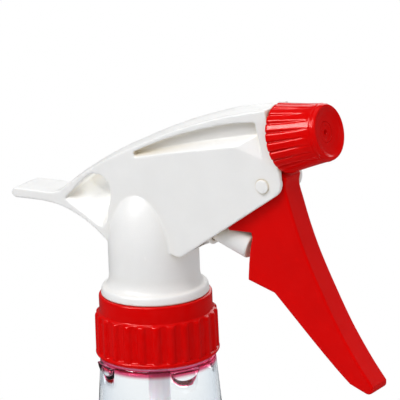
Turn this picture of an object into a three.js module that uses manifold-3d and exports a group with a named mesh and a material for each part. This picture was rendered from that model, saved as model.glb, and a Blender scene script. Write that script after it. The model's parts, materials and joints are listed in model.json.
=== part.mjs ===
// Hand mister: a trigger sprayer head screwed onto a clear half-litre bottle.
// Millimetres, +Z up along the bottle's axis, +X the way it sprays, origin at the middle of the bottle's foot.
import * as THREE from 'three';
import { mergeVertices } from 'three/addons/utils/BufferGeometryUtils.js';
import Module from 'manifold-3d';

const wasm = await Module();
wasm.setup();

// ---------------------------------------------------------------- driving dimensions
const FIT_GAP = 0.3;            // gap between pieces that stand against each other

const COLLAR_TOP = 198;         // height of the collar's upper face above the foot
const COLLAR_HEIGHT = 17;
const COLLAR_BAND_R = 15.5;     // smooth band above the ribs
const COLLAR_RIB_R = 16.9;      // over the ribs
const COLLAR_RIBS = 25;
const COLLAR_BORE_R = 13.9;
const COLLAR_LIP_BORE_R = 11.9; // hole in the lip that holds the head down

const BOTTLE_BODY_R = 34;
const BOTTLE_FINISH_R = 12.4;   // plain wall of the threaded neck
const BOTTLE_MOUTH_R = 10.6;
const BOTTLE_SHOULDER_R = 15.9; // just below the collar
const BOTTLE_WALL = 0.95;

const THREAD_PITCH = 4.23;      // 6 turns to the inch, as 28 mm closures have
const THREAD_TURNS = 1.5;

const NECK_R = 12.4;            // white neck of the head
const NECK_BORE_R = 11.5;
const FLANGE_R = 14.9;

const SHROUD_HALF = 5.9;        // half width at the ears and the tail
const SHROUD_HALF_NECK = 7.5;   // half width beside the neck
const SHROUD_WIDE_ROOM = 5.6;   // half width of the room round the cylinder
const SHROUD_TUBE_ROOM = 3.2;   // half width of the room round the discharge tube

const PIVOT = { x: 39.0, z: 35.5 };   // trigger pivot, z counted from the collar's top as all of the head is
const PIN_R = 1.85;
const TRIGGER_HALF = 3.9;
const TRIGGER_ARM = 0.6;        // thickness of the two arms beside the piston

const PISTON_AXIS = { x: 24.0, z: 20.1, fall: 21.6 };  // a point on the axis, and its fall towards +X in degrees
const PISTON_R = 3.9;
const CYLINDER_R = 5.3;
const CYLINDER_BORE_R = 4.25;

const NOZZLE = { x: 42.5, z: 47.5, rise: 13 };  // middle of the cap's back edge, and the spray's rise in degrees
const NOZZLE_LENGTH = 14.05;
const NOZZLE_BACK_R = 9.5;
const NOZZLE_FRONT_R = 7.5;
const NOZZLE_FLUTES = 22;
const NOZZLE_FLUTE_DEPTH = 0.85;

const TUBE_R = 2.95;            // dip tube
const TUBE_BORE_R = 2.1;

// ---------------------------------------------------------------- colours
const WHITE = { color: 0xe9e9e7, roughness: 0.45, metalness: 0 };
const BRIGHT_WHITE = { color: 0xf4f4f2, roughness: 0.35, metalness: 0 };
const RED = { color: 0xc40a0a, roughness: 0.3, metalness: 0 };
const MATT_RED = { color: 0xbf0c0c, roughness: 0.5, metalness: 0 };
const CLEAR = { color: 0xdfe7ee, roughness: 0.05, metalness: 0, transparent: true, opacity: 0.35 };
const MILKY = { color: 0xcfd2d6, roughness: 0.35, metalness: 0, transparent: true, opacity: 0.8 };
const SEAL = { color: 0xd8d8d4, roughness: 0.6, metalness: 0 };
const RUBBER = { color: 0x2b2b2b, roughness: 0.7, metalness: 0 };
const STEEL = { color: 0xb9bcc0, roughness: 0.25, metalness: 1 };

// ---------------------------------------------------------------- helpers
const degrees = (angle) => THREE.MathUtils.degToRad(angle);
const model = new THREE.Group();

function toSolid(geometry) {
  const bare = geometry.index ? geometry.toNonIndexed() : geometry.clone();
  bare.deleteAttribute('normal');
  bare.deleteAttribute('uv');
  const merged = mergeVertices(bare, 1e-4);
  return new wasm.Manifold(new wasm.Mesh({
    numProp: 3,
    vertProperties: new Float32Array(merged.attributes.position.array),
    triVerts: new Uint32Array(merged.index.array),
  }));
}

function toGeometry(solid) {
  const mesh = solid.getMesh();
  const geometry = new THREE.BufferGeometry();
  geometry.setAttribute('position', new THREE.BufferAttribute(new Float32Array(mesh.vertProperties), 3));
  geometry.setIndex(new THREE.BufferAttribute(new Uint32Array(mesh.triVerts), 1));
  return geometry;
}

const union = (first, ...rest) => rest.reduce((whole, next) => whole.add(next), first);
const cut = (first, ...rest) => rest.reduce((whole, next) => whole.subtract(next), first);

// Piece of revolution about Z. The profile is a list of [radius, z]; swell(radius, z, angle) adds to the radius.
function turned(profile, segments = 28, swell = null) {
  const points = profile.map(([r, z]) => new THREE.Vector2(r, z));
  const geometry = new THREE.LatheGeometry(points, segments);
  geometry.rotateX(Math.PI / 2);
  if (swell) {
    const position = geometry.attributes.position;
    for (let i = 0; i < position.count; i += 1) {
      const x = position.getX(i);
      const y = position.getY(i);
      const r = Math.hypot(x, y);
      if (r > 0.01) {
        const grown = 1 + swell(r, position.getZ(i), Math.atan2(y, x)) / r;
        position.setX(i, x * grown);
        position.setY(i, y * grown);
      }
    }
  }
  return facingOut(geometry);
}

// Solid of a closed geometry, turned right side out if its faces point inwards.
function facingOut(geometry) {
  const solid = toSolid(geometry);
  return solid.volume() < 0 ? toSolid(flipped(geometry)) : solid;
}

function flipped(geometry) {
  const loose = geometry.toNonIndexed();
  const array = loose.attributes.position.array;
  for (let i = 0; i < array.length; i += 9) {
    for (let k = 0; k < 3; k += 1) {
      const kept = array[i + 3 + k];
      array[i + 3 + k] = array[i + 6 + k];
      array[i + 6 + k] = kept;
    }
  }
  return loose;
}

const rod = (radius, low, high, segments = 28) => turned([[0, low], [radius, low], [radius, high], [0, high]], segments);
const ring = (inner, outer, low, high, segments = 28) => (
  turned([[inner, low], [outer, low], [outer, high], [inner, high], [inner, low]], segments)
);

// Plate standing in the XZ plane, from the outline's (x, z), between y = from and y = to.
function plate(shape, from, to, curveSegments = 8) {
  const geometry = new THREE.ExtrudeGeometry(shape, { depth: to - from, bevelEnabled: false, curveSegments });
  geometry.rotateX(Math.PI / 2);
  geometry.translate(0, to, 0);
  return toSolid(geometry);
}

// Prism standing on the XY plane, from the outline's (x, y).
function prism(shape, low, high) {
  const geometry = new THREE.ExtrudeGeometry(shape, { depth: high - low, bevelEnabled: false });
  geometry.translate(0, 0, low);
  return toSolid(geometry);
}

function outline(points) {
  return new THREE.Shape(points.map(([x, z]) => new THREE.Vector2(x, z)));
}

function block(xLow, xHigh, yLow, yHigh, zLow, zHigh) {
  const geometry = new THREE.BoxGeometry(xHigh - xLow, yHigh - yLow, zHigh - zLow);
  geometry.translate((xLow + xHigh) / 2, (yLow + yHigh) / 2, (zLow + zHigh) / 2);
  return toSolid(geometry);
}

// Screw ridge round Z: a trapezoid that climbs a right-handed helix and tapers off at both ends.
function screwRidge(rootR, tipR, width, pitch, turns, lowZ, startAngle = 0, stepsPerTurn = 16) {
  const steps = Math.round(turns * stepsPerTurn);
  const vertices = [];
  const triangles = [];
  for (let i = 0; i <= steps; i += 1) {
    const angle = startAngle + (i / stepsPerTurn) * 2 * Math.PI;
    const z = lowZ + (i / stepsPerTurn) * pitch;
    const taper = Math.min(1, 0.15 + Math.min(i, steps - i) / 3);
    const tip = rootR + (tipR - rootR) * taper;
    const section = [[rootR, -width / 2], [rootR, width / 2], [tip, width / 4], [tip, -width / 4]];
    section.forEach(([r, dz]) => vertices.push(r * Math.cos(angle), r * Math.sin(angle), z + dz));
  }
  const quad = (a, b, c, d) => triangles.push(a, b, c, a, c, d);
  quad(0, 1, 2, 3);
  for (let i = 0; i < steps; i += 1) {
    const here = i * 4;
    const next = here + 4;
    for (let k = 0; k < 4; k += 1) {
      quad(here + k, next + k, next + ((k + 1) % 4), here + ((k + 1) % 4));
    }
  }
  const last = steps * 4;
  quad(last + 3, last + 2, last + 1, last);
  const geometry = new THREE.BufferGeometry();
  geometry.setAttribute('position', new THREE.Float32BufferAttribute(vertices, 3));
  geometry.setIndex(triangles);
  return facingOut(geometry);
}

// Coil spring about Z, of round wire, with open ends.
function coil(meanR, wireR, low, high, turns) {
  class Helix extends THREE.Curve {
    getPoint(t, target = new THREE.Vector3()) {
      const angle = t * turns * 2 * Math.PI;
      return target.set(meanR * Math.cos(angle), meanR * Math.sin(angle), low + (high - low) * t);
    }
  }
  const wire = new THREE.Shape();
  wire.absarc(0, 0, wireR, 0, 2 * Math.PI, false);
  const geometry = new THREE.ExtrudeGeometry(wire, {
    steps: turns * 12,
    curveSegments: 3,
    extrudePath: new Helix(),
  });
  return facingOut(geometry);
}

// Adds one named mesh to a group, from a solid and a finish.
function addPiece(group, name, solid, finish) {
  const mesh = new THREE.Mesh(toGeometry(solid), new THREE.MeshStandardMaterial(finish));
  mesh.name = name;
  group.add(mesh);
}

// Moves a solid made about Z so that its Z runs along the piston's axis (towards the trigger) or the nozzle's axis.
function placed(solid, x, z, fall) {
  return solid.rotate([0, 90 + fall, 0]).translate([x, 0, z]);
}
const onPistonAxis = (solid) => placed(solid, PISTON_AXIS.x, PISTON_AXIS.z, PISTON_AXIS.fall);
const onNozzleAxis = (solid) => placed(solid, NOZZLE.x, NOZZLE.z, -NOZZLE.rise);

// Point beside the nozzle's axis, by its distance along the axis and above it.
function besideNozzle(along, above) {
  const c = Math.cos(degrees(NOZZLE.rise));
  const s = Math.sin(degrees(NOZZLE.rise));
  return [NOZZLE.x + along * c - above * s, NOZZLE.z + along * s + above * c];
}

// ---------------------------------------------------------------- bottle
function bottle() {
  const mouth = COLLAR_TOP - 6;
  const shoulder = COLLAR_TOP - COLLAR_HEIGHT - 0.9;
  const bodyTop = 118;
  const throat = shoulder - 15;
  const throatR = BOTTLE_SHOULDER_R + 1.1;
  const heel = 6;
  const flare = (inset) => new THREE.CubicBezierCurve(
    new THREE.Vector2(BOTTLE_BODY_R - inset, bodyTop),
    new THREE.Vector2(BOTTLE_BODY_R - inset, bodyTop + 25),
    new THREE.Vector2(throatR + 1.5 - inset, throat - 20),
    new THREE.Vector2(throatR - inset, throat),
  ).getPoints(8).map((p) => [p.x, p.y]);
  const heelArc = (radius, lift) => [0, 45, 90].map((angle) => [
    BOTTLE_BODY_R - heel - BOTTLE_WALL * lift + radius * Math.sin(degrees(angle)),
    heel + lift * 0.4 - radius * Math.cos(degrees(angle)),
  ]);
  const base = (lift) => [[0, lift], [13, lift], [15.5, 1.5 + lift], [21.5, 1.5 + lift], [24, lift]];
  const outside = [
    ...base(0),
    ...heelArc(heel, 0),
    ...flare(0),
    [BOTTLE_SHOULDER_R, shoulder - 1],
    [BOTTLE_SHOULDER_R - 0.6, shoulder - 0.1],
    [BOTTLE_FINISH_R + 0.5, shoulder + 0.1],
    [BOTTLE_FINISH_R, shoulder + 0.6],
    [BOTTLE_FINISH_R, mouth - 0.4],
    [BOTTLE_FINISH_R - 0.4, mouth],
  ];
  const inside = [
    ...base(1.4),
    ...heelArc(heel - BOTTLE_WALL, 1),
    ...flare(BOTTLE_WALL),
    [BOTTLE_SHOULDER_R - BOTTLE_WALL, shoulder - 1.6],
    [BOTTLE_SHOULDER_R - 1.6, shoulder - 0.9],
    [BOTTLE_MOUTH_R, shoulder - 0.2],
    [BOTTLE_MOUTH_R, mouth],
  ];
  const shell = turned([...outside, ...inside.reverse()], 32);
  const ridge = screwRidge(
    BOTTLE_FINISH_R - 0.3, 13.5, 1.9, THREAD_PITCH, THREAD_TURNS, mouth - 8.6,
  );
  const lugs = [-30, 60, 150, 240].map((angle) => shoulderLug(shoulder).rotate([0, 0, angle]));
  addPiece(model, 'bottle', union(shell, ridge, ...lugs), CLEAR);
}

// Half-round pad that stands a little proud of the shoulder, below the collar, at angle 0.
function shoulderLug(shoulder) {
  const pad = new THREE.Shape();
  pad.absellipse(0, 0, 4.2, 4.6, Math.PI, 2 * Math.PI, false);
  const geometry = new THREE.ExtrudeGeometry(pad, { depth: 1.6, bevelEnabled: false, curveSegments: 8 });
  geometry.rotateX(Math.PI / 2);
  geometry.rotateZ(Math.PI / 2);
  geometry.translate(BOTTLE_SHOULDER_R - 1.1, 0, shoulder - 0.5);
  return toSolid(geometry);
}

// ---------------------------------------------------------------- screw collar
function screwCollar() {
  const top = COLLAR_TOP - FIT_GAP;
  const foot = COLLAR_TOP - COLLAR_HEIGHT - 0.2;
  const ribTop = COLLAR_TOP - 5.4;
  const ribFoot = COLLAR_TOP - 15.6;
  const lip = 1.6;
  const profile = [
    [0, foot],
    [16.5, foot],
    [17, foot + 0.6],
    [17, ribFoot - 0.3],
    [COLLAR_RIB_R - 0.35, ribFoot],
    [COLLAR_RIB_R - 0.6, ribTop],
    [COLLAR_BAND_R, ribTop + 0.4],
    [COLLAR_BAND_R, top - 0.5],
    [COLLAR_BAND_R - 0.5, top],
    [0, top],
  ];
  const ribs = (r, z, angle) => (
    r > COLLAR_BAND_R + 0.5 && z > ribFoot - 0.1 && z < ribTop + 0.1 ? 0.3 * Math.cos(COLLAR_RIBS * angle) : 0
  );
  const shell = cut(
    turned(profile, COLLAR_RIBS * 4, ribs),
    rod(COLLAR_BORE_R, foot - 1, top - lip, 40),
    rod(COLLAR_LIP_BORE_R, top - lip - 1, top + 1, 40),
  );
  const ridge = screwRidge(
    COLLAR_BORE_R + 0.3, 12.85, 1.9, THREAD_PITCH, 1.3, COLLAR_TOP - 6 - 8.6 - THREAD_PITCH / 2,
  );
  addPiece(model, 'screw_collar', union(shell, ridge), RED);
}

// ---------------------------------------------------------------- the head, in its own frame above the collar's top
const head = new THREE.Group();
head.position.z = COLLAR_TOP;
model.add(head);

// Top edge of the shroud, from the tail's root over the back to the nozzle.
const crest = new THREE.SplineCurve([
  [-28.4, 26.0], [-20.5, 32.1], [-10, 38.6], [0, 43.6], [10, 48.1], [19.5, 51.7], [30, 54.9], [40.2, 56.5],
].map(([x, z]) => new THREE.Vector2(x, z)));

function crestHeight(x) {
  const points = crest.getPoints(120);
  const next = points.findIndex((p) => p.x >= x);
  const index = next < 1 ? points.length - 1 : next;
  const [a, b] = [points[index - 1], points[index]];
  return a.y + ((b.y - a.y) * (x - a.x)) / (b.x - a.x);
}

// Height of the rail from its crest to its lower edge.
const RAIL_ROUNDING = 2.3;                      // 2 is a parabola, more is squarer
function railDrop(x) {
  return 2.6 + THREE.MathUtils.clamp((x - 10) / 27, 0, 1);
}

// Half width of the shroud at a place along its length: widest beside the neck.
function shroudHalf(x) {
  const ramp = (from, to) => THREE.MathUtils.clamp((x - from) / (to - from), 0, 1);
  return SHROUD_HALF + (SHROUD_HALF_NECK - SHROUD_HALF) * Math.min(ramp(-26, -8), 1 - ramp(9, 44));
}

function planOutline() {
  const stations = [-50, -26, -8, 9, 44, 60];
  const side = stations.map((x) => [x, shroudHalf(x)]);
  return outline([...side, ...side.map(([x, y]) => [x, -y]).reverse()]);
}

const TAIL_ARC = { x: -33, z: -11.8, r: 35 };   // hollow under the tail
const TAIL_TIP_X = -41;
const TAIL_TOP_Z = 25.9;
const TAIL_TIP_R = 1.4;
const EAR = { x: 40.1, z: 36.4, r: 4.15 };
const CHEEK_SLOPE = 34.5;                       // rise of the cheek's lower edge in degrees
const CHEEK_FOOT = { x: 12.4, z: 16.1, r: 3 };

// Side outline of the shroud without its rounded top rail.
function cheekOutline() {
  const shape = new THREE.Shape();
  shape.moveTo(TAIL_TIP_X, TAIL_TOP_Z);
  shape.lineTo(-28.6, 26.0);
  for (const x of [-20.5, -10, 0, 10, 20, 30]) {
    shape.lineTo(x, crestHeight(x) - 1.2);
  }
  shape.lineTo(...besideNozzle(-FIT_GAP, 8.9));
  shape.lineTo(...besideNozzle(-FIT_GAP, -8));
  const low = -90 + CHEEK_SLOPE;
  shape.absarc(EAR.x, EAR.z, EAR.r, degrees(2), degrees(low), true);
  shape.absarc(CHEEK_FOOT.x, CHEEK_FOOT.z, CHEEK_FOOT.r, degrees(low), degrees(-130), true);
  shape.lineTo(9.4, 14.1);
  shape.lineTo(-9.6, 14.3);
  const start = Math.atan2(14.3 - TAIL_ARC.z, -9.6 - TAIL_ARC.x);
  shape.absarc(TAIL_ARC.x, TAIL_ARC.z, TAIL_ARC.r, start, degrees(90), false);
  shape.absarc(TAIL_TIP_X, TAIL_TOP_Z - TAIL_TIP_R, TAIL_TIP_R, degrees(270), degrees(90), true);
  return shape;
}

// Rounded rail along the crest: a row of arched sections, wider beside the neck and higher towards the nozzle.
function topRail() {
  const xs = [-28, -24, -20, -15, -10, -5, 0, 5, 10, 15, 20, 25, 30, 35, 39.9];
  const arch = [-1, -0.88, -0.68, -0.38, 0, 0.38, 0.68, 0.88, 1];
  const footWall = 0.3;
  const rows = xs.map((x) => {
    const half = shroudHalf(x);
    const top = crestHeight(x);
    const drop = railDrop(x);
    const front = x > 39 ? Math.tan(degrees(NOZZLE.rise)) : 0;
    const row = arch.map((across) => {
      const z = top - drop * Math.abs(across) ** RAIL_ROUNDING;
      return [x + (top - z) * front, half * across, z];
    });
    const foot = top - drop - footWall;
    row.push([x + (top - foot) * front, half, foot], [x + (top - foot) * front, -half, foot]);
    return row;
  });
  const count = rows[0].length;
  const triangles = [];
  for (let i = 0; i + 1 < rows.length; i += 1) {
    for (let k = 0; k < count; k += 1) {
      const [a, b] = [i * count + k, i * count + ((k + 1) % count)];
      triangles.push(a, b, b + count, a, b + count, a + count);
    }
  }
  const last = (rows.length - 1) * count;
  for (let k = 1; k + 1 < count; k += 1) {
    triangles.push(0, k + 1, k, last, last + k, last + k + 1);
  }
  const geometry = new THREE.BufferGeometry();
  geometry.setAttribute('position', new THREE.Float32BufferAttribute(rows.flat(2), 3));
  geometry.setIndex(triangles);
  return facingOut(geometry);
}

// Round neck with its flange below and a domed top that runs out into the cheeks.
function neck() {
  const domeStart = 12;
  const domeHeight = 21;
  const dome = [0.25, 0.42, 0.58, 0.72, 0.84, 0.93].map((u) => [
    NECK_R * Math.sqrt(1 - u * u), domeStart + domeHeight * u,
  ]);
  return turned([
    [0, 0],
    [FLANGE_R - 0.2, 0],
    [FLANGE_R, 0.2],
    [FLANGE_R - 0.35, 2.1],
    [FLANGE_R - 0.8, 2.5],
    [13.3, 2.95],
    [12.7, 3.6],
    [NECK_R, 4.6],
    [NECK_R, domeStart],
    ...dome,
    [0, domeStart + domeHeight * 0.93],
  ], 40);
}

// Solid from two outlines with the same number of points, each point as [x, y, z].
function lofted(outer, inner) {
  const count = outer.length;
  const contour = inner.map(([x, , z]) => new THREE.Vector2(x, z));
  const faces = THREE.ShapeUtils.triangulateShape(contour, []);
  const follows = (a, b) => b === (a + 1) % count;
  const forward = faces.some(([a, b, c]) => follows(a, b) || follows(b, c) || follows(c, a));
  const triangles = faces.flatMap(([a, b, c]) => (forward
    ? [a, b, c, a + count, c + count, b + count]
    : [a, c, b, a + count, b + count, c + count]));
  for (let k = 0; k < count; k += 1) {
    const next = (k + 1) % count;
    triangles.push(k, k + count, next + count, k, next + count, next);
  }
  const geometry = new THREE.BufferGeometry();
  geometry.setAttribute('position', new THREE.Float32BufferAttribute([...outer, ...inner].flat(), 3));
  geometry.setIndex(triangles);
  return facingOut(geometry);
}

// Outer outline moved further out along the lines from the inner one, so that a cut passes clear of the surface.
function overshot(inner, outer) {
  const reach = 1.4;
  return outer.map((point, k) => point.map((value, axis) => inner[k][axis] + (value - inner[k][axis]) * reach));
}

// Scooped pocket between tail, spine and neck on one side (sign 1 or -1). Its lower and rear walls slope in to a thin
// web in the middle of the tail; the walls along the spine and the neck stand square to it.
function tailPocket(sign) {
  const webHalf = 0.5;
  const square = [[-18.9, 30], [-15.5, 32.6], [-13.4, 33.2], [-11.2, 33], [-9.2, 31.4], [-8.3, 28.4], [-8.9, 25]];
  const mouthEdge = [...square, [-9.6, 21.4], [-11.6, 18.4], [-17.9, 21.3], [-24.6, 24.7]];
  const webEdge = [...square, [-10.1, 24.8], [-13, 26], [-15.6, 27.2], [-18, 28.4]];
  const mouth = mouthEdge.map(([x, z]) => [x, sign * shroudHalf(x), z]);
  const web = webEdge.map(([x, z]) => [x, sign * webHalf, z]);
  return lofted(overshot(web, mouth), web);
}

// Hollow under the top rail on one side (sign 1 or -1): a flat floor, and a ledge that slopes out below it.
function sideRecess(sign) {
  const depth = 2.0;
  const rail = [0, 10.4, 18.4, 27, 37.2].map((x) => [x, crestHeight(x) - railDrop(x)]);
  const panelEdge = [...rail, [39.4, 42.7], [31.1, 45.4], [20.7, 43.5], [11.1, 41.8], [0, 39.4]];
  const floorEdge = [...rail, [37.7, 49.2], [31.5, 48.0], [20.5, 45.6], [9.9, 42.9], [-0.3, 40.3]];
  const floor = floorEdge.map(([x, z]) => [x, sign * (shroudHalf(x) - depth), z]);
  const panel = panelEdge.map(([x, z]) => [x, sign * shroudHalf(x), z]);
  return lofted(overshot(floor, panel), floor);
}

// Room inside the shroud: wide round the cylinder, narrow round the tube above it, and the trigger's slot.
function shroudHollows() {
  const wide = outline([
    [-7.5, 13.4], [-7.5, 29], [2, 35], [25.5, 39], [25.5, 10], [13.2, 10], [13.2, 13.4],
  ]);
  const roof = [-3.6, 5, 15, 25, 37].map((x) => [x, crestHeight(x) - 2.9]);
  const narrow = outline([
    [-3.6, 28], ...roof, besideNozzle(-2.7, 6.3), besideNozzle(-2.7, -6.6), [25, 38.5], [5, 32],
  ]);
  const slot = outline([[25, 5], [25, 39], [36, 40.4], [60, 40.4], [60, 5]]);
  return [
    rod(NECK_BORE_R, -1, 13.5, 32),
    plate(wide, -SHROUD_WIDE_ROOM, SHROUD_WIDE_ROOM),
    plate(narrow, -SHROUD_TUBE_ROOM, SHROUD_TUBE_ROOM),
    plate(slot, -TRIGGER_HALF - 0.5, TRIGGER_HALF + 0.5),
  ];
}

function shroud() {
  const plan = prism(planOutline(), 0, 70);
  const cheeks = plate(cheekOutline(), -10, 10).intersect(plan);
  const bezelHole = onNozzleAxis(rod(STUD_R, -4, 2));
  const pinHole = rod(PIN_R + 0.12, -10, 10, 24).rotate([90, 0, 0]).translate([PIVOT.x, 0, PIVOT.z]);
  const solid = cut(
    union(cheeks, topRail(), neck()),
    ...shroudHollows(),
    sideRecess(1),
    sideRecess(-1),
    tailPocket(1),
    tailPocket(-1),
    bezelHole,
    pinHole,
  );
  addPiece(head, 'shroud', solid, WHITE);
}

// ---------------------------------------------------------------- pump
const FLANGE_TOP = -2.2;        // top of the pump's flange, just under the collar's lip
const FLANGE_FOOT = -3.9;
const VALVE_ROOM_R = 2.6;       // room for the inlet ball
const VALVE_ROOM_TOP = 4;
const DISCHARGE_R = 2.7;
const DISCHARGE_START = -40;    // along the nozzle's axis
const OUTLET_ROOM = { r: 1.9, from: -17 };

function pumpBody() {
  const cup = turned([
    [0, 10.5], [9.8, 10.5], [9.8, FLANGE_FOOT], [13.4, FLANGE_FOOT], [13.4, FLANGE_TOP],
    [NECK_BORE_R - FIT_GAP, FLANGE_TOP], [NECK_BORE_R - FIT_GAP, 12], [0, 12],
  ], 36);
  const riser = union(rod(4.4, FLANGE_FOOT, 11), rod(2.9, 10, 37.5));
  const elbow = toSolid(new THREE.SphereGeometry(2.9, 14, 8)).translate([2.2, 0, 37.3]);
  const cylinder = onPistonAxis(union(rod(CYLINDER_R, -18.5, -2.2, 32), rod(3.4, -26, -18)));
  const web = plate(outline([[2, 11.5], [10.5, 11.5], [15, 20.5], [8, 25], [2, 25]]), -1, 1);
  const discharge = onNozzleAxis(rod(DISCHARGE_R, DISCHARGE_START, -3.1));
  const bores = [
    rod(VALVE_ROOM_R, FLANGE_FOOT - 1, VALVE_ROOM_TOP),
    rod(1.3, VALVE_ROOM_TOP - 1, 36),
    onPistonAxis(union(rod(CYLINDER_BORE_R, -17.3, 0, 32), rod(1, -25.5, -17, 12))),
    onNozzleAxis(union(rod(1.1, DISCHARGE_START - 1.5, -10, 16), rod(OUTLET_ROOM.r, OUTLET_ROOM.from, 0))),
  ];
  addPiece(head, 'pump_body', cut(union(cup, riser, elbow, cylinder, web, discharge), ...bores), WHITE);
}

function mouthGasket() {
  addPiece(head, 'mouth_gasket', ring(10.2, 13.3, -5.7, FLANGE_FOOT - FIT_GAP, 32), SEAL);
}

const BALL_R = 2.0;
const BALL_SEAT_Z = -0.5;

function inletValve() {
  const seatBore = 1.2;
  const rise = Math.sqrt(BALL_R ** 2 - seatBore ** 2) + 0.08;
  const holder = turned([
    [seatBore, BALL_SEAT_Z], [VALVE_ROOM_R - FIT_GAP, BALL_SEAT_Z], [VALVE_ROOM_R - FIT_GAP, -4.2], [4, -4.2],
    [4, -14.5], [TUBE_R + 0.25, -14.5], [TUBE_R + 0.25, -5.6], [seatBore, -5.6], [seatBore, BALL_SEAT_Z],
  ]);
  addPiece(head, 'dip_tube_holder', holder, WHITE);
  const ball = toSolid(new THREE.SphereGeometry(BALL_R, 14, 10)).translate([0, 0, BALL_SEAT_Z + rise]);
  addPiece(head, 'inlet_ball', ball, STEEL);
}

function dipTube() {
  const foot = 5 - COLLAR_TOP;
  const tube = ring(TUBE_BORE_R, TUBE_R, foot, -5.9, 24);
  const slant = block(-8, 8, -8, 8, -6, 0).rotate([0, 35, 0]).translate([0, 0, foot + 1.8]);
  addPiece(head, 'dip_tube', tube.subtract(slant), MILKY);
}

const PISTON_END = 8.5;         // where the trigger pushes, along the piston's axis
const PISTON_TAIL = -9;
const SEAL_GROOVES = [-8.1, -5.5];

function pistonParts() {
  const groove = (low) => [
    [PISTON_R, low - 0.1], [PISTON_R - 0.5, low - 0.1], [PISTON_R - 0.5, low + 1.3], [PISTON_R, low + 1.3],
  ];
  const piston = turned([
    [0, -0.6], [2.9, -0.6], [2.9, PISTON_TAIL], [PISTON_R, PISTON_TAIL],
    ...SEAL_GROOVES.flatMap(groove),
    [PISTON_R, PISTON_END], [1.5, PISTON_END], [1.3, PISTON_END + 1.1], [0, PISTON_END + 1.1],
  ], 32);
  addPiece(head, 'piston', onPistonAxis(piston), BRIGHT_WHITE);
  ['piston_seal', 'vent_seal'].forEach((name, k) => {
    const low = SEAL_GROOVES[k];
    addPiece(head, name, onPistonAxis(ring(PISTON_R - 0.4, CYLINDER_BORE_R - 0.07, low, low + 1.2)), RUBBER);
  });
  addPiece(head, 'return_spring', onPistonAxis(coil(2.2, 0.4, -16.7, -1.2, 6)), STEEL);
}

// ---------------------------------------------------------------- trigger
function triggerOutline() {
  const front = [
    [44.9, 37.6], [44.5, 34.9], [45.7, 30.6], [47.6, 24.4], [50.4, 17], [54.4, 8.4], [59.6, -1.7], [65.1, -10.4],
    [69.3, -16.1],
  ];
  const curve = new THREE.SplineCurve(front.map(([x, z]) => new THREE.Vector2(x, z)));
  const top = 4.2;
  const shape = new THREE.Shape();
  shape.absarc(PIVOT.x, PIVOT.z, top, degrees(150), degrees(62), true);
  shape.lineTo(43.5, 38.9);
  curve.getPoints(15).forEach((p) => shape.lineTo(p.x, p.y));
  shape.lineTo(69.3, -17.5);
  shape.lineTo(68.3, -18.3);
  shape.lineTo(66.2, -18.2);
  shape.lineTo(62.4, -16.3);
  shape.quadraticCurveTo(52.9, -8.1, 40.2, 5.8);
  shape.lineTo(32.2, 8.4);
  shape.quadraticCurveTo(32.6, 15.5, 33.8, 20.2);
  shape.lineTo(33.6, 21.6);
  shape.lineTo(26.7, 21.4);
  shape.lineTo(25.6, 23.2);
  shape.lineTo(34.6, 36.2);
  return shape;
}

function trigger() {
  const solid = plate(triggerOutline(), -TRIGGER_HALF, TRIGGER_HALF);
  const wall = 1.5;
  const betweenArms = block(20, 33.7, TRIGGER_ARM - TRIGGER_HALF, TRIGGER_HALF - TRIGGER_ARM, 11.5, 37);
  const channel = plate(outline([
    [40, 0], [41.2, 3.6], [47, 9.5], [50.8, 10.5], [57.6, -3.2], [63.2, -12.2], [65.2, -15.2], [60, -22], [40, -8],
  ]), wall - TRIGGER_HALF, TRIGGER_HALF - wall);
  const bore = rod(PIN_R + 0.2, -10, 10, 24).rotate([90, 0, 0]).translate([PIVOT.x, 0, PIVOT.z]);
  addPiece(head, 'trigger', cut(solid, betweenArms, channel, bore), MATT_RED);
  const pin = turned([
    [0, -6.75], [PIN_R - 0.3, -6.75], [PIN_R, -6.45], [PIN_R, 6.45], [PIN_R - 0.3, 6.75], [0, 6.75],
  ], 24);
  addPiece(head, 'trigger_pin', pin.rotate([90, 0, 0]).translate([PIVOT.x, 0, PIVOT.z]), WHITE);
}

// ---------------------------------------------------------------- outlet valve and nozzle, along the nozzle's axis
const STUD_R = 5.2;             // threaded stud that the nozzle cap screws onto
const CAP_BORE_R = 6.6;
const NOZZLE_PITCH = 2;

function outletValve() {
  const seat = OUTLET_ROOM.from + 0.1;
  const valve = turned([
    [0, seat], [1.6, seat], [1.6, seat + 1], [0.6, seat + 1], [0.6, seat + 3.6], [0, seat + 3.6],
  ], 20);
  addPiece(head, 'outlet_valve', onNozzleAxis(valve), MILKY);
  addPiece(head, 'outlet_spring', onNozzleAxis(coil(1.2, 0.25, seat + 1.5, -8.7, 5)), STEEL);
}

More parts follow.
